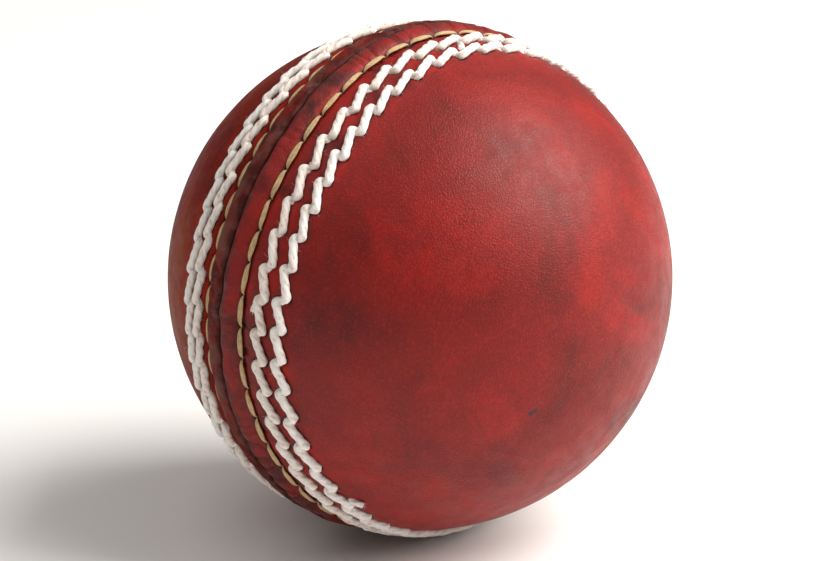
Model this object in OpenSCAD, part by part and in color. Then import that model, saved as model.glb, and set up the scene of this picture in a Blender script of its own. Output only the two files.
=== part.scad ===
// Cricket ball: a cork and twine core inside two moulded leather cups, sewn
// together lip to lip along a raised seam with six rows of stitching.
// Millimetres. The origin is the ball's centre, +Z is up, the seam stands
// upright in the XZ plane, and the cups' poles lie on -Y (front) and +Y (rear).

/* [Cover] */
// Radius of the leather away from the seam
leather_r = 35.9; // [35.6:0.1:36.4]
// Thickness of the moulded leather
leather_t = 4; // [3.6:0.1:4.2]

/* [Seam] */
// Height of the sewn lips above the leather sphere
lip_rise = 1.0; // [0.7:0.1:1.1]
// Radius of the rounding along each lip
lip_round = 1.9; // [1.8:0.05:2.0]
// Number of stitches in each closing row
closing_count = 49; // [46:1:50]
// Number of stitches in each inner white row
inner_count = 49; // [47:1:51]
// Number of stitches in each outer white row
outer_count = 51; // [49:1:53]
// Latitude of the closing stitches, counted from the seam
closing_lat = 5.2; // [4.9:0.1:5.4]
// Latitude of the front cup's inner white row
front_inner_lat = 11.2; // [10.8:0.1:11.6]
// Latitude of the front cup's outer white row
front_outer_lat = 16.2; // [16:0.1:16.6]
// Latitude of the rear cup's inner white row
rear_inner_lat = 9.2; // [9:0.1:9.3]
// Latitude of the rear cup's outer white row
rear_outer_lat = 13.3; // [13.3:0.1:13.8]

/* [Thread] */
// Thickness of the white thread
white_d = 1.25; // [1.1:0.05:1.35]
// Length of a white stitch from end to end
white_length = 5.4; // [5.2:0.1:5.6]
// Slant of a white stitch away from its row
white_slant = 14; // [12:1:14]
// Thickness of the waxed closing thread
closing_d = 0.9; // [0.8:0.05:1]

/* [Core] */
// Radius of the moulded cork nugget
nugget_r = 12.5; // [11:0.5:13]
// Thickness of the first and second windings of twine
winding_t = 3; // [2.5:0.1:3.2]
// Thickness of the inner cork segments
inner_cork_t = 4; // [3.5:0.1:4.2]
// Thickness of the outer cork segments
outer_cork_t = 5; // [4.5:0.1:5.2]
// Number of inner cork segments
inner_corks = 4; // [4:1:4]
// Number of outer cork segments
outer_corks = 6; // [6:1:6]
// Gap between neighbouring cork segments
cork_gap = 0.4; // [0.2:0.1:0.8]

/* [Hidden] */
$fn = 64;
fine = 180;

closing_pitch = 360 / closing_count;
core_r = leather_r - leather_t;
inner_cork_r = nugget_r + winding_t;
middle_twine_r = inner_cork_r + inner_cork_t;
outer_cork_r = middle_twine_r + winding_t;
outer_twine_r = outer_cork_r + outer_cork_t;

// the lip is a torus just off the joint, so a groove is left between the cups
lip_offset = 0.92 * lip_round;
lip_ring_r = leather_r + lip_rise - lip_round;
// the closing stitches pull a trough along the foot of each lip
trough_r = 0.7;
trough_depth = 0.55;

// white thread lies part sunk in the leather and bites into it at both ends
white_r = white_d / 2;
white_ring_r = leather_r + 0.25 * white_d;
white_span = white_length / leather_r * 180 / PI;
leg_r = 0.8 * white_r;
leg_turn = white_span / 2 - asin(white_r / leather_r);
bite_r = 0.8 * leg_r;
bite_ring_r = leather_r - 1.9;
leg_bottom_r = bite_ring_r - 1.1 * bite_r;
channel_r = 0.9 * white_d;
channel_depth = 0.25;

// the closing thread crosses itself in every hole through both lips
closing_r = closing_d / 2;
closing_ring_r = leather_r - trough_depth + closing_r;
pass_r = 0.9 * closing_r;
closing_span = closing_pitch - asin(pass_r / leather_r);
pass_ring_r = leather_r - trough_depth;
pass_half = leather_r * sin(closing_lat) + 0.5 * closing_r;
hole_r = 1.05 * pass_r;
hole_length = 2 * pass_half + closing_r;

// longitudes of each row's first hole or stitch
closing_first = 1.9;
front_inner_first = 180.1;
front_outer_first = 180.9;
rear_inner_first = 179.9;
rear_outer_first = 180.5;

CORE_NODES = ["core_nugget", "inner_winding", "middle_winding", "outer_winding"];
INNER_CORK_NODES = [for (i = [1:inner_corks]) str("inner_cork_", i)];
OUTER_CORK_NODES = [for (i = [1:outer_corks]) str("outer_cork_", i)];
COVER_NODES = ["front_leather_cup", "rear_leather_cup"];
THREAD_NODES = ["closing_thread",
                "front_inner_stitching", "front_outer_stitching",
                "rear_inner_stitching", "rear_outer_stitching"];

// Stands the seam upright: the working axis Z turns to -Y.
module upright() {
    rotate([90, 0, 0]) children();
}

// Moves something made on the +X axis to a longitude and latitude.
module on_ball(lon, lat, slant = 0) {
    rotate([0, 0, lon]) rotate([0, -lat, 0]) rotate([slant, 0, 0]) children();
}

// A round thread bent along a circle about the ball's centre.
module thread_arc(ring_r, thread_r, span) {
    rotate_extrude(angle = span, start = -span / 2, $fn = fine)
        translate([ring_r, 0]) circle(r = thread_r, $fn = 24);
}

// A ring at a latitude, used for lips, troughs and stitch channels.
module ring_at(ring_r, lat, section_r) {
    translate([0, 0, ring_r * sin(lat)])
        rotate_extrude($fn = fine)
            translate([ring_r * cos(lat), 0]) circle(r = section_r);
}

// --- core ---

module shell(outer_radius, inner_radius) {
    difference() {
        sphere(r = outer_radius, $fn = fine);
        sphere(r = inner_radius, $fn = fine);
    }
}

module core_nugget() {
    color("peru") sphere(r = nugget_r, $fn = fine);
}

module winding(inner_radius, outer_radius) {
    color("wheat") upright() shell(outer_radius, inner_radius);
}

// One cork segment: a wedge of a hollow sphere with a gap on each side.
module cork_segment(i, count, inner_radius, thickness) {
    wide = 2 * (inner_radius + thickness);
    wedge = 360 / count;
    color("burlywood") upright() rotate([0, 0, i * wedge])
        intersection() {
            shell(inner_radius + thickness, inner_radius);
            translate([cork_gap / 2, cork_gap / 2, -wide / 2])
                linear_extrude(wide)
                    polygon([[0, 0], [wide, 0],
                             [wide * cos(wedge / 2), wide * sin(wedge / 2)],
                             [wide * cos(wedge), wide * sin(wedge)]]);
        }
}

// --- leather cover ---

module cup_blank() {
    sphere(r = leather_r, $fn = fine);
    translate([0, 0, lip_offset])
        rotate_extrude($fn = fine)
            translate([lip_ring_r, 0]) circle(r = lip_round);
}

// A cup with a channel under each of its white rows.
module cup(row_lats) {
    big = 2 * leather_r + 4 * lip_rise;
    color("firebrick") difference() {
        cup_blank();
        sphere(r = core_r, $fn = fine);
        translate([0, 0, -big / 2]) cube(big, center = true);
        ring_at(leather_r - trough_depth + trough_r, closing_lat, trough_r);
        for (lat = row_lats)
            ring_at(leather_r - channel_depth + channel_r, lat, channel_r);
        for (i = [0:closing_count - 1])
            rotate([0, 0, closing_first + i * closing_pitch])
                translate([pass_ring_r, 0, 0])
                    cylinder(r = hole_r, h = hole_length, center = true, $fn = 24);
    }
}

module front_leather_cup() {
    upright() cup([front_inner_lat, front_outer_lat]);
}

module rear_leather_cup() {
    mirror([0, 1, 0]) upright() cup([rear_inner_lat, rear_outer_lat]);
}

// --- closing thread ---

// A stitch lying in the trough between two neighbouring holes.
module closing_stitch(lon, lat) {
    on_ball(lon, lat) thread_arc(closing_ring_r, closing_r, closing_span);
}

// The thread where it passes straight through both lips.
module closing_pass(lon) {
    rotate([0, 0, lon]) translate([pass_ring_r, 0, 0])
        cylinder(r = pass_r, h = 2 * pass_half, center = true, $fn = 24);
}

// One thread with a needle at each end, so a stitch shows on both sides.
module closing_thread() {
    color("tan") upright()
        for (i = [0:closing_count - 1]) {
            hole = closing_first + i * closing_pitch;
            closing_pass(hole);
            for (side = [-1, 1])
                closing_stitch(hole + closing_pitch / 2, side * closing_lat);
        }
}

// --- white stitching ---

// A point on a stitch's plane, turned to its longitude, latitude and slant.
function stitch_point(lon, lat, slant, turn, ring_r) = let (
    p = [ring_r * cos(turn), ring_r * sin(turn) * cos(slant),
         ring_r * sin(turn) * sin(slant)],
    q = [p.x * cos(lat) - p.z * sin(lat), p.y, p.x * sin(lat) + p.z * cos(lat)])
    [q.x * cos(lon) - q.y * sin(lon), q.x * sin(lon) + q.y * cos(lon), q.z];

// A straight round rod between two points.
module rod(from, to, rod_r) {
    along = to - from;
    translate(from)
        rotate([0, acos(along.z / norm(along)), atan2(along.y, along.x)])
            cylinder(r = rod_r, h = norm(along), $fn = 24);
}

// A stitch lying over the leather with a leg sunk at each end.
module white_stitch(lon, lat, slant) {
    on_ball(lon, lat, slant) {
        thread_arc(white_ring_r, white_r, white_span);
        for (side = [-1, 1])
            rotate([0, 0, side * leg_turn])
                translate([leg_bottom_r, 0, 0]) rotate([0, 90, 0])
                    cylinder(r = leg_r, h = white_ring_r - leg_bottom_r, $fn = 24);
    }
}

// The thread runs back under the leather to where the next stitch starts.
module bite(lon, lat, slant, pitch) {
    rod(stitch_point(lon, lat, slant, leg_turn, bite_ring_r),
        stitch_point(lon + pitch, lat, slant, -leg_turn, bite_ring_r), bite_r);
}

module stitched_row(lat, slant, count, first) {
    pitch = 360 / count;
    color("whitesmoke") upright()
        for (i = [0:count - 1]) {
            white_stitch(first + i * pitch, lat, slant);
            bite(first + i * pitch, lat, slant, pitch);
        }
}

module front_inner_stitching() {
    stitched_row(front_inner_lat, white_slant, inner_count, front_inner_first);
}

module front_outer_stitching() {
    stitched_row(front_outer_lat, white_slant, outer_count, front_outer_first);
}

module rear_inner_stitching() {
    stitched_row(-rear_inner_lat, -white_slant, inner_count, rear_inner_first);
}

module rear_outer_stitching() {
    stitched_row(-rear_outer_lat, -white_slant, outer_count, rear_outer_first);
}

core_nugget();
winding(nugget_r, inner_cork_r);  // inner_winding
winding(middle_twine_r, outer_cork_r);  // middle_winding
winding(outer_twine_r, core_r);  // outer_winding
for (i = [0:inner_corks - 1])
    cork_segment(i, inner_corks, inner_cork_r, inner_cork_t);
for (i = [0:outer_corks - 1])
    cork_segment(i, outer_corks, outer_cork_r, outer_cork_t);
front_leather_cup();
rear_leather_cup();
closing_thread();
front_inner_stitching();
front_outer_stitching();
rear_inner_stitching();
rear_outer_stitching();
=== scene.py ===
"""Cricket ball: two leather cups sewn over a cork and twine core.

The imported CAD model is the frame. The leather and the threads are meshed here in the
same frame and stand for their CAD nodes; the nugget, the cork segments and the windings
keep their CAD shape and get procedural materials. Work is in millimetres until a mesh is
made.

Places on the ball are (longitude, latitude) in degrees: latitude counts from the seam
towards the front cup's pole on -Y, and longitude turns about the Y axis from +X up
through +Z, as in the CAD model.
"""

import math
import random

import bpy
import numpy as np
from mathutils import Matrix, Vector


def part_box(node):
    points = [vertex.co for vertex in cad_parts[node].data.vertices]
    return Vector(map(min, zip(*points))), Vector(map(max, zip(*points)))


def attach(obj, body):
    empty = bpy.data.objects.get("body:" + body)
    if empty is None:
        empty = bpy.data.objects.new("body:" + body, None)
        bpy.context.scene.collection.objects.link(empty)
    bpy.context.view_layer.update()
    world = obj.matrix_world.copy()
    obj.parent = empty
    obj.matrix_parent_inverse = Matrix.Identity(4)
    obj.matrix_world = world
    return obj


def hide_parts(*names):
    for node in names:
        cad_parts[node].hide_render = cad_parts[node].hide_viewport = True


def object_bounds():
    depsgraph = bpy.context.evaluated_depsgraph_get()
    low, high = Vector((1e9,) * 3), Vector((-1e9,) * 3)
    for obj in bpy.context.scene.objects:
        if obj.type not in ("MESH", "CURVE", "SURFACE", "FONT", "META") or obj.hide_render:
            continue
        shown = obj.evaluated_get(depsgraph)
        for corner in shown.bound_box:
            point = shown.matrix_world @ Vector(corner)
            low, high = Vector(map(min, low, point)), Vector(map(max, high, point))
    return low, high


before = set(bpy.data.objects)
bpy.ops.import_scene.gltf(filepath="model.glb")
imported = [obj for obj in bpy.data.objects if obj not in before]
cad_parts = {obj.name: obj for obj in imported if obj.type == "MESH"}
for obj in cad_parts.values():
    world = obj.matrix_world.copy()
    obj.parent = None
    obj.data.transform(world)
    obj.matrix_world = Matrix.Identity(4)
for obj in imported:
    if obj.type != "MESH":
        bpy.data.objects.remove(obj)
cad_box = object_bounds()

MM = 0.001
ROOT = "root"
FRONT, REAR = 1, -1


def reach(node):
    """How far a node at the centre of the ball reaches along X and Y, in millimetres."""
    low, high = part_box(node)
    return max(high.x, -low.x) / MM, max(high.y, -low.y) / MM


LIP_R, LEATHER_R = reach("front_leather_cup")
CORE_R = reach("outer_winding")[0]
LIP_RISE = LIP_R - LEATHER_R

# --- how the seam is sewn: degrees along and across it -------------------------------

STRAY = 0.68  # the seam strays this far to both sides of its plane
STRAY_LOBES = 4
STRAY_PEAK = 136.25
STRAY_FADES = (20, 40)  # from this latitude to that one the straying dies away

# the closing stitches: the latitude of their holes, how many there are, where the first
# hole is, and how far the holes run ahead of an even spacing, twice round, and where most
CLOSING_LAT = 5.4
CLOSING_COUNT = 49
CLOSING_PITCH = 360 / CLOSING_COUNT
CLOSING_START = 1.9
CLOSING_AHEAD = 0.5
CLOSING_AHEAD_PEAK = 115

THREAD_R = 0.59  # the white thread's radius in millimetres
REAR_THREAD_SHARE = 0.93  # the rear rows' thread is a little thinner
STITCH_HALF = 3.3  # from a stitch's middle to its bends, along the seam
SWAY_SHARE = 0.85  # a stitch has swayed all the way at this share of its half length

# half a stitch, from its middle to under the next one: the share of its half length,
# the share of its sway and the thread's height in millimetres
HALF_STITCH = (
    (0.0, 0.0, 0.40),
    (0.4, 0.47, 0.40),
    (0.8, 0.94, 0.38),
    (0.97, 0.92, 0.27),
    (1.01, 0.35, -0.02),
    (0.93, -0.35, -0.5),
    (0.88, -0.7, -0.9),
)


class Row:
    """One row of white stitches: where each stitch is and how it is shaped. drift is how
    far the spacing runs ahead, how many times round, and where it peaks; sway is how far
    a stitch leans to each side of its row."""

    def __init__(self, name, side, lat, count, first, drift, sway, seed):
        rng = random.Random(seed)
        pitch = 360 / count
        amount, lobes, peak = drift
        thread = 1 if side == FRONT else REAR_THREAD_SHARE
        self.name, self.side, self.lat, self.pitch = name, side, lat, pitch
        self.centres = []
        self.half, self.sway, self.shift, self.thick = [], [], [], []
        for i in range(count):
            even = first + i * pitch
            wave = math.cos(math.radians(lobes * (even - peak)))
            self.centres.append(even + amount * wave + rng.gauss(0, 0.12))
            self.half.append(STITCH_HALF * rng.gauss(1, 0.025))
            self.sway.append(sway * rng.gauss(1, 0.09))
            self.shift.append(rng.gauss(0, 0.1))
            self.thick.append(THREAD_R * rng.gauss(thread, 0.03))
        self.centres = np.array(self.centres)

    def lateral(self, i, along):
        """Latitude, counted from the seam, at a distance along the stitch in degrees."""
        share = np.clip(along / self.half[i], -SWAY_SHARE, SWAY_SHARE)
        return self.lat + self.shift[i] + self.sway[i] * share / SWAY_SHARE


ROWS = [
    Row("front_inner", FRONT, 11.15, 49, 180.1, (1.3, 3, 172), 1.0, 11),
    Row("front_outer", FRONT, 16.25, 51, 180.9, (1.0, 2, 80), 1.0, 12),
    Row("rear_inner", REAR, 9.3, 49, 179.9, (0.2, 2, 60), 0.75, 13),
    Row("rear_outer", REAR, 12.9, 51, 180.5, (0.2, 2, 90), 0.75, 14),
]

# --- small numeric tools --------------------------------------------------------------


def step(x, low, high):
    """0 below low, 1 above high and smooth between."""
    t = np.clip((x - low) / (high - low), 0, 1)
    return t * t * (3 - 2 * t)


def place(lon, lat, radius):
    """Points in millimetres at longitudes, latitudes and radii, strayed as the seam is."""
    lon = np.radians(lon)
    near = 1 - step(np.abs(lat), *STRAY_FADES)
    stray = STRAY * near * np.cos(STRAY_LOBES * (lon - math.radians(STRAY_PEAK)))
    lat = np.radians(lat + stray)
    flat = radius * np.cos(lat)
    return np.stack([flat * np.cos(lon), -radius * np.sin(lat), flat * np.sin(lon)], -1)


def closing_drift(lon):
    """How far the closing holes run ahead of an even spacing."""
    return CLOSING_AHEAD * np.cos(np.radians(2 * (lon - CLOSING_AHEAD_PEAK)))


def hash_grid(cell, seed):
    """A repeatable value from -1 to 1 for each whole-numbered grid corner. The large odd
    multipliers make neighbouring corners differ."""
    h = cell[..., 0] * 73856093 ^ cell[..., 1] * 19349663 ^ cell[..., 2] * 83492791
    h = (h ^ seed * 2654435761) & 0xFFFFFFFF
    h = ((h ^ (h >> 15)) * 2246822519) & 0xFFFFFFFF
    h = ((h ^ (h >> 13)) * 3266489917) & 0xFFFFFFFF
    return (h ^ (h >> 16)).astype(float) / 0x7FFFFFFF - 1


def noise(points, cell, seed):
    """Smooth value noise, from -1 to 1, with the given cell size."""
    p = points / cell
    base = np.floor(p).astype(np.int64)
    f = p - base
    f = f * f * (3 - 2 * f)
    total = 0
    for corner in np.ndindex(2, 2, 2):
        weight = np.prod([f[..., k] if c else 1 - f[..., k] for k, c in enumerate(corner)], 0)
        total = total + weight * hash_grid(base + np.array(corner), seed)
    return total


def bell(x, width):
    """1 at zero, falling smoothly with distance."""
    return np.exp(-((x / width) ** 2))


def turn(degrees):
    """An angle brought into -180 to 180."""
    return (degrees + 180) % 360 - 180


# --- the leather's surface ------------------------------------------------------------

# the raised lip: the latitude where it ends on each cup, and how square it is across
LIP_FOOT = {FRONT: 5.2, REAR: 5.75}
LIP_SQUARENESS = {FRONT: 2.4, REAR: 5.0}

# dents, as a depth in millimetres and a width in degrees
JOIN_DENT = (0.40, 0.42)  # the groove where the two lips meet
AWL_DENT = (0.30, 0.42)  # each hole of the closing thread
TROUGH_DENT = (0.24, 0.9)  # the channel that the closing stitches lie in
STITCH_DENT = (0.27, 0.8)  # under a white stitch
HOLE_DENT = (0.50, 0.6)  # where a white thread goes in
CREASE_DEPTH = 0.28


def row_distance(row, lon, phi):
    """Degrees from the nearest stitch of a row, and from its nearest hole."""
    near = np.full(lon.shape, 99.0)
    hole = np.full(lon.shape, 99.0)
    for i, centre in enumerate(row.centres):
        along = turn(lon - centre)
        m = np.abs(along) < row.pitch
        if not m.any():
            continue
        x, y = along[m], phi[m]
        beyond = np.maximum(np.abs(x) - row.half[i], 0)
        near[m] = np.minimum(near[m], np.hypot(beyond, y - row.lateral(i, x)))
        for end in (-1, 1):
            foot = row.lateral(i, end * row.half[i])
            far = np.hypot(x - end * row.half[i], y - foot)
            hole[m] = np.minimum(hole[m], far)
    return near, hole


def leather(side, lon, phi):
    """Height over the leather sphere in millimetres, and how darkly each point is painted: dirt
    along the seam and painted shade in its recesses.
    """
    where = place(lon, side * phi, LEATHER_R)
    seed = 40 if side == FRONT else 50
    along = turn(lon - closing_drift(lon) - CLOSING_START) / CLOSING_PITCH
    from_hole = (along - np.round(along)) * CLOSING_PITCH
    inner = min(row.lat for row in ROWS if row.side == side)
    outer = max(row.lat for row in ROWS if row.side == side)
    band = 1 - step(phi, outer + 2, outer + 5)

    # the lip, pulled down at each hole of the closing thread
    foot = LIP_FOOT[side] + 0.4 * noise(where, 5.0, seed)
    lip = np.clip(1 - (phi / foot) ** LIP_SQUARENESS[side], 0, None)
    pull = bell(from_hole, 1.3)
    uneven = 0.11 * noise(where, 4.0, seed + 1) + 0.1 * noise(where, 1.3, seed + 2)
    h = lip * (LIP_RISE * (0.96 - 0.12 * pull) + uneven)
    depth, width = JOIN_DENT
    h -= depth * bell(phi, width + 0.24 * noise(where, 3.0, seed + 8))

    # the closing stitches' channel and holes, and the leather that swells beside them
    depth, width = TROUGH_DENT
    trough = bell(phi - CLOSING_LAT - 0.3, width)
    h -= trough * (depth + 0.06 * pull)
    depth, width = AWL_DENT
    from_awl = np.hypot(from_hole, phi - CLOSING_LAT)
    h -= depth * bell(from_awl, width)
    h += 0.1 * bell(phi - (CLOSING_LAT + inner) / 2 - 0.4, 1.0) * (0.95 - 0.4 * pull)

    # the white rows: leather swells between the stitches and gives way under them
    # the channel and the closing holes are darkened: dirt and painted shade
    dirt_and_shade = 0.55 * trough + 0.9 * bell(from_awl, 0.75)
    for row in ROWS:
        if row.side == side:
            near, hole = row_distance(row, lon, phi)
            h += 0.16 * band * (1 - bell(near, 1.5)) * bell(phi - row.lat, 3.2)
            for distance, (depth, width) in ((near, STITCH_DENT), (hole, HOLE_DENT)):
                h -= depth * bell(distance, width)
            # dirt and painted shade beside each white stitch and round its holes
            dirt_and_shade += 0.85 * bell(near, 1.15) + 0.4 * bell(hole, 1.2)

    # creases run across the lip where the leather was gathered
    squeeze = np.stack([lon * 0.34, phi * 0.09, np.full(lon.shape, 3.0 + seed)], -1)
    crease = np.abs(noise(squeeze, 0.75, seed + 3))
    gather = (1 - step(phi, 6.0, 10.0)) * step(noise(where, 9.0, seed + 4), -0.5, 0.4)
    h -= CREASE_DEPTH * gather * (1 - step(crease, 0.0, 0.2)) * step(phi, 0.0, 1.0)

    # slow unevenness all over the ball
    h += 0.035 * noise(where, 14.0, seed + 5) + 0.02 * noise(where, 5.0, seed + 6)
    h += 0.012 * noise(where, 2.2, seed + 7)
    # painted shade, with dirt, in the creases' bottoms and in the join's groove
    dirt_and_shade += 0.9 * gather * (1 - step(crease, 0.0, 0.13))
    dirt_and_shade += 0.8 * bell(phi, 0.35)
    return h, np.clip(dirt_and_shade, 0, 1.3)


# --- making meshes --------------------------------------------------------------------


def make_object(name, points, faces, material):
    """A smooth mesh object from points in millimetres."""
    mesh = bpy.data.meshes.new(name)
    mesh.from_pydata((np.asarray(points) * MM).tolist(), [], faces)
    mesh.materials.append(material)
    mesh.shade_smooth()
    mesh.update()
    obj = bpy.data.objects.new(name, mesh)
    bpy.context.scene.collection.objects.link(obj)
    return obj


def add_attribute(obj, name, values):
    """Stores a number, or a triple, at each point for the materials to read."""
    values = np.asarray(values, float)
    kind, field = ("FLOAT", "value") if values.ndim == 1 else ("FLOAT_VECTOR", "vector")
    attribute = obj.data.attributes.new(name, kind, "POINT")
    attribute.data.foreach_set(field, values.ravel())


def bridge(first, n_first, second, n_second, flip):
    """Faces between two closed rings, whose counts are equal or a multiple apart."""
    faces = []
    if n_first == n_second:
        for j in range(n_first):
            k = (j + 1) % n_first
            faces.append((first + j, first + k, second + k, second + j))
    else:
        ratio = n_first // n_second
        for j in range(n_second):
            k = (j + 1) % n_second
            half = ratio // 2
            for m in range(ratio):
                a = first + j * ratio + m
                b = first + (j * ratio + m + 1) % n_first
                faces.append((a, b, second + (j if m < half else k)))
            faces.append((first + j * ratio + half, second + k, second + j))
    return [f[::-1] for f in faces] if flip else faces


JOIN_GAP = 0.12  # each cup's mating face is this far from the seam's plane, in degrees
BAND_END = 19  # rings lie closer together below this latitude
LAST_LATITUDES = (89, 89.2)  # the last ring lies between these

# how many points a ring has below each latitude, and how many beside the pole
SEAM_COUNT = 960
RING_COUNTS = ((21, SEAM_COUNT), (38, 480), (66, 240), (82, 120), (88, 40))
POLE_COUNT = 10

# the inside's rings, from the pole down to the join
INSIDE_LATITUDES = (88, 80, 70, 58, 44, 30, 18, 8, 3)
INSIDE_COUNT = 240  # points in each of the inside's rings below latitude 20


def ring_count(phi):
    """How many points a ring at this latitude has: fewer towards the pole."""
    for limit, count in RING_COUNTS:
        if phi < limit:
            return count
    return POLE_COUNT


def ring_latitudes():
    """Close rings over the sewn band, then wider and wider ones up to the pole."""
    rings, phi, gap = [JOIN_GAP], JOIN_GAP, 0.14
    enough, limit = LAST_LATITUDES
    while phi < enough:
        if phi > BAND_END:
            gap = min(gap * 1.05, 1.2)
        else:
            gap = min(gap * 1.25, 0.3)
        phi += gap
        rings.append(min(phi, limit))
    return rings


def leather_cup(name, side, material):
    """One cup as a closed shell: inside, mating face and outside."""
    rings = []
    for phi in INSIDE_LATITUDES:
        rings.append((phi, ring_count(phi) if phi > 20 else INSIDE_COUNT, CORE_R))
    for radius in (CORE_R, CORE_R + 1.3, LEATHER_R - 1.0):
        rings.append((JOIN_GAP, SEAM_COUNT, radius))
    rings += [(phi, ring_count(phi), None) for phi in ring_latitudes()]

    points, dirt_and_shade, lats, starts = [], [], [], []
    total = 0
    for phi, count, radius in rings:
        lon = np.arange(count) * 360 / count
        lat = np.full(count, float(phi))
        if radius is None:
            height, ring_dirt_and_shade = leather(side, lon, lat)
            radii = LEATHER_R + height
        else:
            # the inside and the mating faces are painted dark, as shade in the join's gap
            radii, ring_dirt_and_shade = np.full(count, radius), np.full(count, 0.9)
        points.append(place(lon, side * lat, radii))
        dirt_and_shade.append(ring_dirt_and_shade)
        lats.append(lat)
        starts.append((total, count))
        total += count

    faces = []
    for (a, n_a), (b, n_b) in zip(starts, starts[1:]):
        if n_a >= n_b:
            faces += bridge(a, n_a, b, n_b, side == REAR)
        else:
            faces += bridge(b, n_b, a, n_a, side == FRONT)
    first, last = starts[0], starts[-1]
    inside = tuple(range(first[0], first[0] + first[1]))
    outside = tuple(range(last[0], last[0] + last[1]))
    faces.append(inside[::-1] if side == FRONT else inside)
    faces.append(outside if side == FRONT else outside[::-1])
    obj = make_object(name, np.concatenate(points), faces, material)
    add_attribute(obj, "dirt_and_shade", np.concatenate(dirt_and_shade))
    add_attribute(obj, "lat", np.concatenate(lats))
    return obj


# --- threads --------------------------------------------------------------------------

PLY_START = 6.28  # a tube's tone, from 0 to 1, also turns its plies by up to this angle


class Tubes:
    """Collects swept tubes into one mesh, with fibre directions for the material."""

    def __init__(self):
        self.points, self.faces, self.fibre, self.tone = [], [], [], []
        self.total = 0

    def sweep(self, path, up, radius, across=1.0, sides=16, lobes=(0, 0.0, 0.0), tone=0.0):
        """A tube along path. up points out of the leather; radius may vary along it.
        across widens the section sideways. lobes is count, depth and turns per mm."""
        path, up = np.asarray(path, float), np.asarray(up, float)
        n = len(path)
        radius = np.broadcast_to(radius, n)
        across = np.broadcast_to(across, n)
        tangent = np.gradient(path, axis=0)
        tangent /= np.linalg.norm(tangent, axis=1)[:, None]
        sideways = np.cross(tangent, up)
        sideways /= np.linalg.norm(sideways, axis=1)[:, None]
        upright = np.cross(sideways, tangent)
        length = np.concatenate([[0], np.cumsum(np.linalg.norm(np.diff(path, axis=0), axis=1))])
        count, depth, twist = lobes
        angle = np.arange(sides) * 2 * math.pi / sides - math.pi / 2
        phase = angle[None, :] - 2 * math.pi * twist * length[:, None] + PLY_START * tone
        ply = np.cos(count * phase) if count else np.zeros_like(phase)
        r = radius[:, None] * (1 + depth * (ply - 0.4))
        ring = (
            path[:, None, :]
            + (r * across[:, None] * np.cos(angle))[..., None] * sideways[:, None, :]
            + (r * np.sin(angle))[..., None] * upright[:, None, :]
        )
        self.points.append(ring.reshape(-1, 3))
        fibre = np.stack(
            [phase, np.broadcast_to(length[:, None], phase.shape), (1 - ply) / 2], -1
        )
        self.fibre.append(fibre.reshape(-1, 3))
        self.tone.append(np.full(n * sides, tone))
        base = self.total
        for i in range(n - 1):
            for j in range(sides):
                k = (j + 1) % sides
                a, b = base + i * sides, base + (i + 1) * sides
                self.faces.append((a + j, b + j, b + k, a + k))
        self.faces.append(tuple(base + j for j in range(sides)))
        self.faces.append(tuple(base + (n - 1) * sides + j for j in reversed(range(sides))))
        self.total += n * sides

    def build(self, name, material):
        """The mesh object of all the tubes."""
        obj = make_object(name, np.concatenate(self.points), self.faces, material)
        add_attribute(obj, "fibre", np.concatenate(self.fibre))
        add_attribute(obj, "tone", np.concatenate(self.tone))
        return obj


def smooth_curve(knots, per_knot):
    """A curve through the knots, with a few points for each stretch between them."""
    knots = np.asarray(knots, float)
    padded = np.vstack([2 * knots[0] - knots[1], knots, 2 * knots[-1] - knots[-2]])
    t = np.linspace(0, 1, per_knot, endpoint=False)[:, None]
    pieces = []
    for p0, p1, p2, p3 in zip(padded, padded[1:], padded[2:], padded[3:]):
        bend = (3 * (p1 - p2) + p3 - p0) * t + 2 * p0 - 5 * p1 + 4 * p2 - p3
        pieces.append(p1 + 0.5 * t * (p2 - p0 + t * bend))
    return np.vstack([*pieces, knots[-1:]])


def stitch_route(row, i, rng):
    """One stitch as (along, latitude, height): it bends under its neighbours at both ends."""
    after = [(x, y, h + rng.gauss(0, 0.025)) for x, y, h in HALF_STITCH]
    before = [(-x, -y, h + rng.gauss(0, 0.025)) for x, y, h in HALF_STITCH[:0:-1]]
    knots = np.array(before + after)
    knots[:, 0] *= row.half[i]
    knots[:, 1] = row.lat + row.shift[i] + knots[:, 1] * row.sway[i]
    return smooth_curve(knots, 3)


FACES_FROM = 1.2  # a white stitch faces away from a point this many millimetres under it
PLIES = (3, 0.075, 0.21)  # a white thread's plies, how deep they cut in and turns per mm
CUT_PLIES = (3, 0.12, 0.21)  # the plies of a cut end, which has come a little undone

FUZZ_STEPS = 5
FUZZ_A_STITCH = 5  # loose fibres that stand off each white stitch
FRAY = 14  # fibres at a cut end
FINE_FIBRE, THICK_FIBRE, FIBRE_TIP = 0.022, 0.05, 0.008  # radii in millimetres

# cut thread ends: the row they belong to, longitude, latitude, which way they lie and
# how long they are, in degrees
LOOSE_ENDS = (
    ("front_inner", 169.5, 10.2, -15, 4.0),
    ("front_outer", 225, 18, 50, 3.5),
    ("front_outer", 91, 15, -125, 2.5),
    ("front_inner", 312, 12, 30, 3.0),
    ("rear_outer", 20, 14, 35, 3.5),
)


def fuzz(tubes, rng, start, out, length, thick=FINE_FIBRE):
    """One loose fibre that leaves a thread and curls."""
    path = [np.array(start)]
    heading = out + np.array([rng.gauss(0, 0.5) for _ in range(3)])
    for _ in range(FUZZ_STEPS):
        heading = heading / np.linalg.norm(heading)
        path.append(path[-1] + heading * length / FUZZ_STEPS)
        heading = heading + np.array([rng.gauss(0, 0.35) for _ in range(3)])
    thin = np.linspace(thick, FIBRE_TIP, len(path))
    up = np.cross(heading, [0.3, 0.5, 0.8])
    tubes.sweep(path, np.tile(up, (len(path), 1)), thin, sides=3, tone=rng.random())


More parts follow.
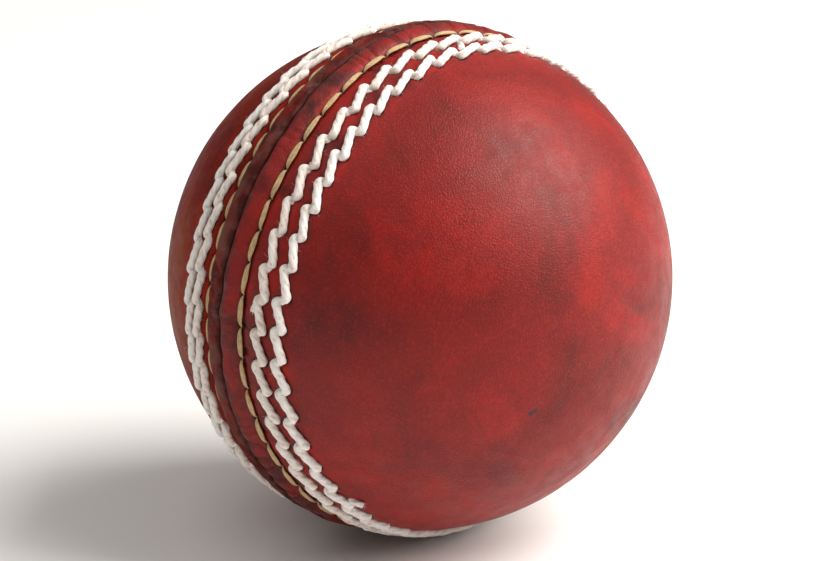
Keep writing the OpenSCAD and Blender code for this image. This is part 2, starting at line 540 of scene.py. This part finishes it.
def loose_end(tubes, rng, side, lon, lat, toward, length):
    """A cut thread end that lies on the leather and frays at its tip. toward is the way
    it lies, in degrees from along the seam to away from it; length is in degrees."""
    share = np.linspace(0, 1, 9)
    run = length * share
    lons = lon + run * math.cos(math.radians(toward))
    lats = lat + run * math.sin(math.radians(toward)) + 0.25 * np.sin(3 * share)
    rise = -0.5 + 0.75 * step(share, 0, 0.3) + 0.15 * share
    path = place(lons, side * lats, LEATHER_R + rise)
    up = place(lons, side * lats, 1.0)
    thick = THREAD_R * (0.85 - 0.3 * share**3)
    tubes.sweep(path, up, thick, sides=20, lobes=CUT_PLIES, tone=rng.random())
    ahead = (path[-1] - path[-2]) / np.linalg.norm(path[-1] - path[-2])
    for _ in range(FRAY):
        spread = np.array([rng.gauss(0, 0.45) for _ in range(3)])
        start = path[-1] + 0.25 * (spread - ahead)
        fuzz(tubes, rng, start, ahead + spread, rng.uniform(0.4, 0.9), THICK_FIBRE)


def white_row(row, material, seed):
    """A row of thick twisted thread, with the loose fibres that stand off it."""
    rng = random.Random(seed)
    tubes = Tubes()
    for i, centre in enumerate(row.centres):
        x, lat, h = stitch_route(row, i, rng).T
        path = place(centre + x, row.side * lat, LEATHER_R + h)
        up = place(centre + x, row.side * lat, 1.0)
        # facing away from a point under the stitch holds at the steep bends too
        under = place(centre, row.side * row.lat, LEATHER_R - FACES_FROM)
        up = 0.4 * up + (path - under) / np.linalg.norm(path - under, axis=1)[:, None]
        thick = row.thick[i] * (1 + 0.05 * bell(np.abs(x) - 0.8 * row.half[i], 0.8))
        tubes.sweep(path, up, thick, sides=20, lobes=PLIES, tone=rng.random())
        for _ in range(FUZZ_A_STITCH):
            k = rng.randrange(5, len(path) - 5)
            side = rng.choice((-1, 1))
            across = side * np.cross(path[k + 1] - path[k], up[k])
            across = across / np.linalg.norm(across)
            start = path[k] + across * thick[k] * 0.85
            fuzz(tubes, rng, start, across + 0.5 * up[k], rng.uniform(0.3, 1.1))
    for name, *end in LOOSE_ENDS:
        if name == row.name:
            loose_end(tubes, rng, row.side, *end)
    return tubes.build(row.name + "_thread", material)


STRANDS = 3  # in each closing stitch
STRAND_TIP, STRAND_SWELL = 0.06, 0.12  # a strand's radius in a hole, and what it gains
STRAND_FLATNESS = 1.45  # a strand is this much wider than it is high
HOLE_HALF = 0.12  # a closing stitch stops this far short of each hole's middle
SUNK, CROWN = -0.32, 0.46  # a closing stitch's height in a hole, and what it gains
DEGREE = 0.63  # a degree over the leather, in millimetres


def closing_thread(material, seed):
    """Both rows of closing stitches: flat bundles of waxed strands, pinched at the holes."""
    rng = random.Random(seed)
    tubes = Tubes()
    share = np.linspace(-1, 1, 19)
    half = CLOSING_PITCH / 2 - HOLE_HALF
    swell = np.clip(1 - share**2, 0, 1) ** 0.8
    rise = SUNK + CROWN * np.clip(1 - share**6, 0, 1)
    radius = STRAND_TIP + STRAND_SWELL * swell
    for side in (FRONT, REAR):
        for i in range(CLOSING_COUNT):
            even = CLOSING_START + (i + 0.5) * CLOSING_PITCH
            lon = even + closing_drift(even) + share * half
            width = rng.gauss(0.24, 0.03)
            slant = rng.gauss(0.12, 0.1)
            tone = rng.random()
            spin = rng.uniform(-0.4, 0.4)
            for s in range(STRANDS):
                angle = spin + share * 0.5 + 2 * math.pi * s / STRANDS
                offset = width * swell * np.cos(angle)
                lift = 0.07 * swell * np.sin(angle)
                lat = CLOSING_LAT + slant * share + offset / DEGREE
                path = place(lon, side * lat, LEATHER_R + rise + lift)
                up = place(lon, side * lat, 1.0)
                own_tone = (tone + s * 0.31) % 1
                tubes.sweep(path, up, radius, across=STRAND_FLATNESS, sides=10, tone=own_tone)
            if rng.random() < 0.5:
                k = rng.randrange(5, 14)
                lean = place(lon[k], side * lat[k] + 20, 1.0) - place(lon[k], side * lat[k], 1.0)
                fuzz(tubes, rng, path[k], up[k] + 2 * lean, rng.uniform(0.4, 1.3))
    return tubes.build("closing_thread_sewn", material)


# --- materials ------------------------------------------------------------------------


class Shader:
    """Builds a material's nodes with short calls."""

    def __init__(self, name):
        self.material = bpy.data.materials.new(name)
        self.material.use_nodes = True
        self.tree = self.material.node_tree
        self.tree.nodes.clear()
        self.output = self.tree.nodes.new("ShaderNodeOutputMaterial")
        self.surface = self.tree.nodes.new("ShaderNodeBsdfPrincipled")
        self.link(self.surface.outputs[0], self.output.inputs["Surface"])
        self.place = self.node("TexCoord").outputs["Object"]

    def node(self, kind, **settings):
        made = self.tree.nodes.new("ShaderNode" + kind)
        for key, value in settings.items():
            setattr(made, key, value)
        return made

    def link(self, source, target):
        self.tree.links.new(source, target)

    def fill(self, socket, value):
        """Sets a socket to a number or colour, or joins it to another node."""
        if hasattr(value, "is_output"):
            self.link(value, socket)
        elif isinstance(value, tuple) and len(value) == 3 and socket.type == "RGBA":
            socket.default_value = (*value, 1)
        else:
            socket.default_value = value

    def set(self, **values):
        """Sets the surface's own inputs."""
        for key, value in values.items():
            self.fill(self.surface.inputs[key.replace("_", " ")], value)

    def attribute(self, name, output="Fac"):
        return self.node("Attribute", attribute_name=name).outputs[output]

    def math(self, operation, a, b=0.0):
        made = self.node("Math", operation=operation)
        self.fill(made.inputs[0], a)
        self.fill(made.inputs[1], b)
        return made.outputs[0]

    def noise(self, scale, detail=3.0, vector=None, distortion=0.0, roughness=0.55):
        made = self.node("TexNoise")
        self.fill(made.inputs["Vector"], vector or self.place)
        for key, value in (("Scale", scale), ("Detail", detail), ("Roughness", roughness)):
            made.inputs[key].default_value = value
        made.inputs["Distortion"].default_value = distortion
        return made.outputs["Fac"]

    def cell_edges(self, scale, vector):
        """How far each point is from the nearest border between cells."""
        made = self.node("TexVoronoi", feature="DISTANCE_TO_EDGE")
        self.fill(made.inputs["Vector"], vector)
        made.inputs["Scale"].default_value = scale
        return made.outputs["Distance"]

    def span(self, value, low, high, out_low=0.0, out_high=1.0):
        """Turns low to high smoothly into out_low to out_high."""
        made = self.node("MapRange", interpolation_type="SMOOTHSTEP")
        for socket, number in zip(made.inputs, (value, low, high, out_low, out_high)):
            self.fill(socket, number)
        return made.outputs[0]

    def mix(self, share, a, b):
        """Colour a where share is 0 and colour b where it is 1."""
        made = self.node("Mix", data_type="RGBA")
        self.fill(made.inputs[0], share)
        self.fill(made.inputs[6], a)
        self.fill(made.inputs[7], b)
        return made.outputs[2]

    def bump(self, height, depth, strength=1.0, normal=None):
        """Relief of the given depth in metres."""
        made = self.node("Bump")
        made.inputs["Strength"].default_value = strength
        made.inputs["Distance"].default_value = depth
        self.fill(made.inputs["Height"], height)
        if normal is not None:
            self.fill(made.inputs["Normal"], normal)
        return made.outputs[0]

    def warp(self, scale, amount):
        """The object's coordinates, pushed about by noise, so that cells look grown."""
        made = self.node("TexNoise")
        self.fill(made.inputs["Vector"], self.place)
        made.inputs["Scale"].default_value = scale
        shift = self.node("VectorMath", operation="MULTIPLY_ADD")
        self.fill(shift.inputs[0], made.outputs["Color"])
        shift.inputs[1].default_value = (amount, amount, amount)
        self.fill(shift.inputs[2], self.place)
        return shift.outputs[0]


# marks on the front leather: longitude, latitude, size in millimetres and colour
FRONT_MARKS = (
    (222, 68, 0.50, (0.022, 0.020, 0.024)),
    (221, 67, 0.50, (0.022, 0.020, 0.024)),
    (288, 59, 0.22, (0.060, 0.004, 0.004)),
    (289, 60, 0.18, (0.060, 0.004, 0.004)),
    (122, 18, 0.40, (0.080, 0.004, 0.004)),
    (300, 45, 0.30, (0.090, 0.006, 0.006)),
)
MARK_WARP = 0.0005  # in metres: how far a mark's outline is pushed about

# the dark colour of the seam's dirt and of the painted shade in its recesses
DIRT_AND_SHADE = (0.030, 0.006, 0.005)
CRUST = ((0.045, 0.010, 0.009), (0.10, 0.032, 0.027))  # on the lips beside the join


def leather_material(name, reds, patches, lip_colours, lip_share, gloss, marks=()):
    """Dyed and polished leather: blotchy dye, fine grain and a seam darkened by dirt and painted
    shade. reds are the dye's tones from the specks to the dark; patches is a worn colour and its
    share."""
    s = Shader(name)
    glint, bright, middle, dark = reds
    worn_colour, worn_share = patches

    # the dye, uneven at every size
    blotch = s.noise(48, 5.0, distortion=0.5)
    patch = s.noise(170, 6.0, distortion=0.3, roughness=0.65)
    speck = s.noise(2600, 4.0)
    colour = s.mix(s.span(blotch, 0.31, 0.62), dark, bright)
    colour = s.mix(s.span(patch, 0.36, 0.64, 0.0, 0.8), colour, middle)
    lat = s.math("ABSOLUTE", s.attribute("lat"))
    worn = s.span(s.noise(45, 4.0, distortion=0.3), 0.44, 0.68, 0.0, worn_share)
    worn = s.math("MULTIPLY", worn, s.span(lat, 13.0, 19.0))
    colour = s.mix(worn, colour, worn_colour)
    colour = s.mix(s.span(speck, 0.5, 0.72, 0.0, 0.3), colour, glint)
    colour = s.mix(s.span(speck, 0.3, 0.47, 0.45, 0.0), colour, dark)
    pebble = s.cell_edges(2300, s.warp(900, 0.00025))
    colour = s.mix(s.span(pebble, 0.0, 0.14, 0.22, 0.0), colour, dark)

    # the sewn band is mottled, the lips have their own colours, the join is crusted and the
    # seam's recesses are painted dark with dirt and shade
    ragged = s.math("ADD", lat, s.span(s.noise(260, 3.0), 0.3, 0.7, -0.6, 0.6))
    sewn = s.span(lat, 17.0, 21.0, 0.85, 0.0)
    mottle = s.noise(210, 4.0, distortion=0.4)
    colour = s.mix(s.math("MULTIPLY", sewn, s.span(mottle, 0.5, 0.66)), colour, bright)
    colour = s.mix(s.math("MULTIPLY", sewn, s.span(mottle, 0.34, 0.46, 1.0, 0.0)), colour, dark)
    near_seam = s.span(ragged, 3.8, 5.2, 1.0, 0.0)
    lip = s.math("MULTIPLY", near_seam, s.span(s.noise(330, 4.0), 0.36, 0.6, 0.3, lip_share))
    tint = s.mix(s.span(s.noise(160, 4.0), 0.4, 0.6), *lip_colours)
    colour = s.mix(lip, colour, tint)
    crest = s.span(ragged, 0.4, 2.2, 0.85, 0.0)
    crust = s.mix(s.span(s.noise(600, 4.0), 0.42, 0.6), *CRUST)
    colour = s.mix(crest, colour, crust)
    # dirt and painted shade in the seam's recesses, read from the leather's attribute
    dirt_and_shade = s.span(s.attribute("dirt_and_shade"), 0.05, 1.15, 0.0, 0.85)
    colour = s.mix(dirt_and_shade, colour, DIRT_AND_SHADE)

    for mark_lon, mark_lat, size, mark_colour in marks:
        mark = s.node("VectorMath", operation="DISTANCE")
        s.link(s.warp(1600, MARK_WARP), mark.inputs[0])
        # the warp's noise is about a half, so it moves everything by half its amount
        centre = place(mark_lon, mark_lat, LEATHER_R) * MM + MARK_WARP / 2
        mark.inputs[1].default_value = centre.tolist()
        spot = s.span(mark.outputs["Value"], 0.6 * size * MM, size * MM, 0.85, 0.0)
        colour = s.mix(spot, colour, mark_colour)

    s.set(Base_Color=colour)
    s.set(Roughness=s.span(s.noise(420, 4.0), 0.3, 0.7, 0.40, 0.54))
    s.surface.inputs["Specular IOR Level"].default_value = gloss
    s.surface.inputs["Coat Weight"].default_value = 0.2 * gloss
    s.surface.inputs["Coat Roughness"].default_value = 0.35

    # relief: pebbled grain, soft dimples and scuffs on the lips
    height = s.math("ADD", s.span(pebble, 0.0, 0.22), s.math("MULTIPLY", speck, 0.8))
    normal = s.bump(height, 0.00004, 0.6)
    normal = s.bump(s.noise(520, 4.0, distortion=0.5), 0.00006, 0.4, normal)
    scuff = s.math("MULTIPLY", near_seam, s.noise(900, 5.0, distortion=0.8, roughness=0.7))
    normal = s.bump(scuff, 0.0003, 0.6, normal)
    s.set(Normal=normal)
    return s.material


def thread_material(name, light, shade, stain, streaks, relief):
    """Twisted fibre: streaks along the plies, and stains in the valleys between them.
    streaks is how closely they lie round the thread; relief is their depth in metres."""
    s = Shader(name)
    fibre = s.attribute("fibre", "Vector")
    tone = s.attribute("tone")
    parts = s.node("SeparateXYZ")
    s.link(fibre, parts.inputs[0])
    around, along, valley = parts.outputs
    strand = s.node("CombineXYZ")
    s.link(s.math("MULTIPLY", around, streaks), strand.inputs[0])
    s.link(s.math("MULTIPLY", along, 1.1), strand.inputs[1])
    s.link(s.math("MULTIPLY", tone, 37.0), strand.inputs[2])
    streak = s.noise(1.0, 4.0, strand.outputs[0], roughness=0.6)
    patch = s.noise(1300, 4.0)
    colour = s.mix(s.span(streak, 0.3, 0.7), shade, light)
    soiled = s.math("MULTIPLY", s.span(patch, 0.42, 0.68), s.span(valley, 0.3, 1.0, 0.12, 0.62))
    colour = s.mix(soiled, colour, stain)
    s.set(Base_Color=colour, Roughness=0.85)
    s.surface.inputs["Specular IOR Level"].default_value = 0.25
    s.surface.inputs["Sheen Weight"].default_value = 0.15
    s.surface.inputs["Sheen Roughness"].default_value = 0.5
    lint = s.noise(4200, 3.0)
    s.set(Normal=s.bump(lint, 0.00006, 0.7, s.bump(streak, relief, 0.8)))
    return s.material


def cork_material(name, light, dark, scale):
    """Pressed cork granules, with dark bark between them."""
    s = Shader(name)
    edge = s.cell_edges(scale, s.warp(scale * 0.8, 0.25 / scale))
    tint = s.noise(scale * 0.7, 4.0)
    colour = s.mix(s.span(tint, 0.35, 0.65), dark, light)
    bark = (0.08, 0.045, 0.025)
    colour = s.mix(s.span(edge, 0.0, 0.06, 0.75, 0.0), colour, bark)
    colour = s.mix(s.span(s.noise(scale * 3, 3.0), 0.62, 0.72, 0.0, 0.8), colour, bark)
    s.set(Base_Color=colour, Roughness=0.8)
    s.set(Normal=s.bump(s.span(edge, 0.0, 0.12), 0.0002, 0.7))
    return s.material


def twine_material(name, light, dark):
    """Yarn wound over and over in crossing directions, with painted shade in the grooves between
    its turns.
    """
    s = Shader(name)
    height = None
    for k, tilt in enumerate(((0.3, 0.1, 0.0), (1.3, 0.4, 0.9), (0.2, 1.5, 0.6))):
        mapping = s.node("Mapping")
        s.link(s.warp(90, 0.002), mapping.inputs["Vector"])
        mapping.inputs["Rotation"].default_value = tilt
        wave = s.node("TexWave", wave_type="BANDS", wave_profile="SIN")
        s.link(mapping.outputs[0], wave.inputs["Vector"])
        wave.inputs["Scale"].default_value = 260.0
        wave.inputs["Distortion"].default_value = 1.5
        part = wave.outputs["Fac"]
        mask = s.span(s.noise(110 + 30 * k, 1.0), 0.47, 0.53)
        height = part if height is None else s.mix(mask, height, part)
    # painted shade: the yarn is darker where its relief is low, between the turns
    colour = s.mix(s.span(height, 0.1, 0.75), dark, light)
    colour = s.mix(s.span(s.noise(2500, 3.0), 0.4, 0.7, 0.0, 0.4), colour, dark)
    s.set(Base_Color=colour, Roughness=0.9)
    s.set(Normal=s.bump(height, 0.0004, 0.9))
    return s.material


# --- stage ----------------------------------------------------------------------------


def floor_material():
    """A plain pale surface."""
    s = Shader("pale_floor")
    colour = s.mix(s.span(s.noise(9, 3.0), 0.3, 0.7), (0.84, 0.84, 0.84), (0.88, 0.88, 0.88))
    s.set(Base_Color=colour, Roughness=0.75)
    return s.material


def make_floor():
    """A wide floor at the ball's lowest point."""
    half = 3000.0
    z = cad_box[0][2] / MM
    corners = [(-half, -half, z), (half, -half, z), (half, half, z), (-half, half, z)]
    make_object("floor", corners, [(0, 1, 2, 3)], floor_material())


def view_axes(azimuth, elevation):
    """Right, up and back of a camera that looks at the ball from an angle."""
    a, e = math.radians(azimuth), math.radians(elevation)
    back = np.array([math.sin(a) * math.cos(e), -math.cos(a) * math.cos(e), math.sin(e)])
    right = np.array([math.cos(a), math.sin(a), 0.0])
    return right, np.cross(back, right), back


def aim(obj, place_at, right, up, back):
    """Puts a camera or light at a place, with its own axes along right, up and back."""
    columns = [[*map(float, axis), 0.0] for axis in (right, up, back)]
    obj.matrix_world = Matrix([*columns, [*map(float, place_at), 1.0]]).transposed()


VIEW = view_axes(azimuth=-43.03, elevation=17.38)
DISTANCE = 12 * LEATHER_R * MM
BELOW_AIM = 0.0004  # the ball's centre shows a little above the middle of the picture
LENS = 129.4  # millimetres of focal length on a sensor 36 wide


def make_camera():
    """A long lens, so that the ball shows with little perspective."""
    right, up, back = VIEW
    data = bpy.data.cameras.new("camera")
    data.sensor_width = 36
    data.lens = LENS
    data.clip_start = 0.01
    camera = bpy.data.objects.new("camera", data)
    bpy.context.scene.collection.objects.link(camera)
    aim(camera, back * DISTANCE - up * BELOW_AIM, right, up, back)
    bpy.context.scene.camera = camera


def soft_light(name, toward, distance, size, power, colour):
    """A square panel of light turned to the ball. toward is how far it lies to the right,
    up and back, as the camera sees it; distance and size are in metres."""
    heading = sum(share * axis for share, axis in zip(toward, VIEW))
    heading = heading / np.linalg.norm(heading)
    data = bpy.data.lights.new(name, "AREA")
    data.shape = "SQUARE"
    data.size, data.energy, data.color = size, power, colour
    light = bpy.data.objects.new(name, data)
    bpy.context.scene.collection.objects.link(light)
    side = np.cross([0, 0, 1], heading)
    side = side / np.linalg.norm(side)
    aim(light, heading * distance, side, np.cross(heading, side), heading)


def make_lights():
    """A key light at the upper right, a weak fill at the upper left and a warm white sky."""
    soft_light(
        "key", (0.70, 0.64, 0.26), distance=0.9, size=0.75, power=18.0, colour=(1.0, 0.965, 0.91)
    )
    soft_light(
        "fill", (-0.45, 0.85, 0.35), distance=1.1, size=1.0, power=3.0, colour=(1.0, 0.99, 0.97)
    )
    world = bpy.data.worlds.new("studio")
    world.use_nodes = True
    sky = world.node_tree.nodes["Background"]
    sky.inputs["Color"].default_value = (1.0, 0.95, 0.89, 1)
    sky.inputs["Strength"].default_value = 0.28
    bpy.context.scene.world = world
    bpy.context.scene.view_settings.view_transform = "Standard"


# --- the ball -------------------------------------------------------------------------


def keep(piece, slot, *nodes):
    """Hands a piece to the frame: puts it on the root body and hides the nodes it replaces. slot
    is not used.
    """
    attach(piece, ROOT)
    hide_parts(*nodes)


def dress_core():
    """Gives the pieces under the leather, which keep their CAD shape, their materials."""
    nugget = cork_material("nugget_cork", (0.34, 0.19, 0.10), (0.13, 0.07, 0.045), 700)
    cork = cork_material("pressed_cork", (0.60, 0.40, 0.22), (0.40, 0.24, 0.12), 420)
    twine = twine_material("wound_twine", (0.78, 0.69, 0.52), (0.42, 0.32, 0.19))
    for name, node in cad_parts.items():
        for part, material in (("nugget", nugget), ("cork", cork), ("winding", twine)):
            if part in name:
                node.data.materials.clear()
                node.data.materials.append(material)


def make_ball():
    """The leather, the four white rows and the closing thread."""
    front = leather_material(
        "front_leather",
        ((0.40, 0.030, 0.013), (0.31, 0.009, 0.006), (0.19, 0.007, 0.006), (0.095, 0.006, 0.005)),
        ((0.11, 0.010, 0.009), 0.3),
        lip_colours=((0.045, 0.009, 0.009), (0.20, 0.010, 0.009)),
        lip_share=0.9,
        gloss=0.21,
        marks=FRONT_MARKS,
    )
    rear = leather_material(
        "rear_leather",
        ((0.32, 0.046, 0.016), (0.25, 0.016, 0.008), (0.15, 0.009, 0.006), (0.08, 0.006, 0.004)),
        ((0.24, 0.045, 0.010), 0.75),
        lip_colours=((0.055, 0.013, 0.012), (0.150, 0.057, 0.047)),
        lip_share=1.0,
        gloss=0.03,
    )
    keep(leather_cup("front_leather", FRONT, front), "leather", "front_leather_cup")
    keep(leather_cup("rear_leather", REAR, rear), "leather", "rear_leather_cup")

    white = thread_material(
        "white_thread", (0.90, 0.87, 0.84), (0.78, 0.74, 0.71), (0.50, 0.34, 0.26), 3.2, 0.0002
    )
    stained = thread_material(
        "stained_thread", (0.89, 0.83, 0.79), (0.75, 0.68, 0.62), (0.46, 0.27, 0.19), 3.2, 0.0002
    )
    waxed = thread_material(
        "waxed_thread", (0.74, 0.55, 0.30), (0.38, 0.25, 0.10), (0.11, 0.055, 0.022), 3.4, 0.0002
    )
    for k, row in enumerate(ROWS):
        tint = stained if row.name.endswith("inner") else white
        keep(white_row(row, tint, 70 + k), "white_thread", row.name + "_stitching")
    keep(closing_thread(waxed, 90), "waxed_thread", "closing_thread")


make_camera()
make_lights()
make_floor()
make_ball()
dress_core()
